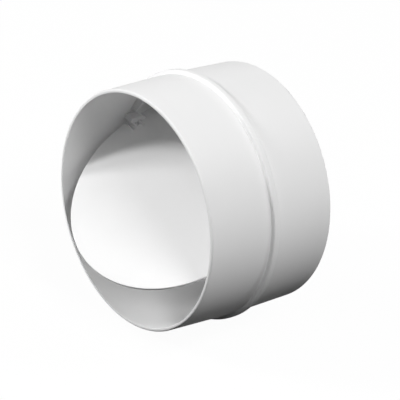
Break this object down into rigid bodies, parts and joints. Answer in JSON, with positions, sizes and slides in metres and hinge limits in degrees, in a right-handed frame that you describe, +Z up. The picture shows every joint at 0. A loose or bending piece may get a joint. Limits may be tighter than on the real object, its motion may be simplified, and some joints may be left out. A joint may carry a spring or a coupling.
{
  "type": "duct connector",
  "caption": "Round white plastic duct connector with a raised bead round its middle, a tapered spigot on each side and a hinged back-draught flap inside.",
  "frame": {"origin": "on the tube's axis, in the middle plane of the bead", "axes": "+Y along the tube from the front opening to the rear, +Z up with the flap's hinge level along X"},
  "size_m": [0.1017, 0.0753, 0.1016],
  "materials": {
    "white_plastic": "satin moulded"
  },
  "bodies": {
    "connector_body": {"connector_body": "white_plastic"},
    "flap": {"flap": "white_plastic"}
  },
  "joints": [
    {"name": "flap_swing", "type": "hinge", "parent": "connector_body", "child": "flap", "pos_m": [0, 0.0009, 0.01167], "axis": [-1, 0, 0], "range_deg": [-52.8, 17.2]}
  ]
}
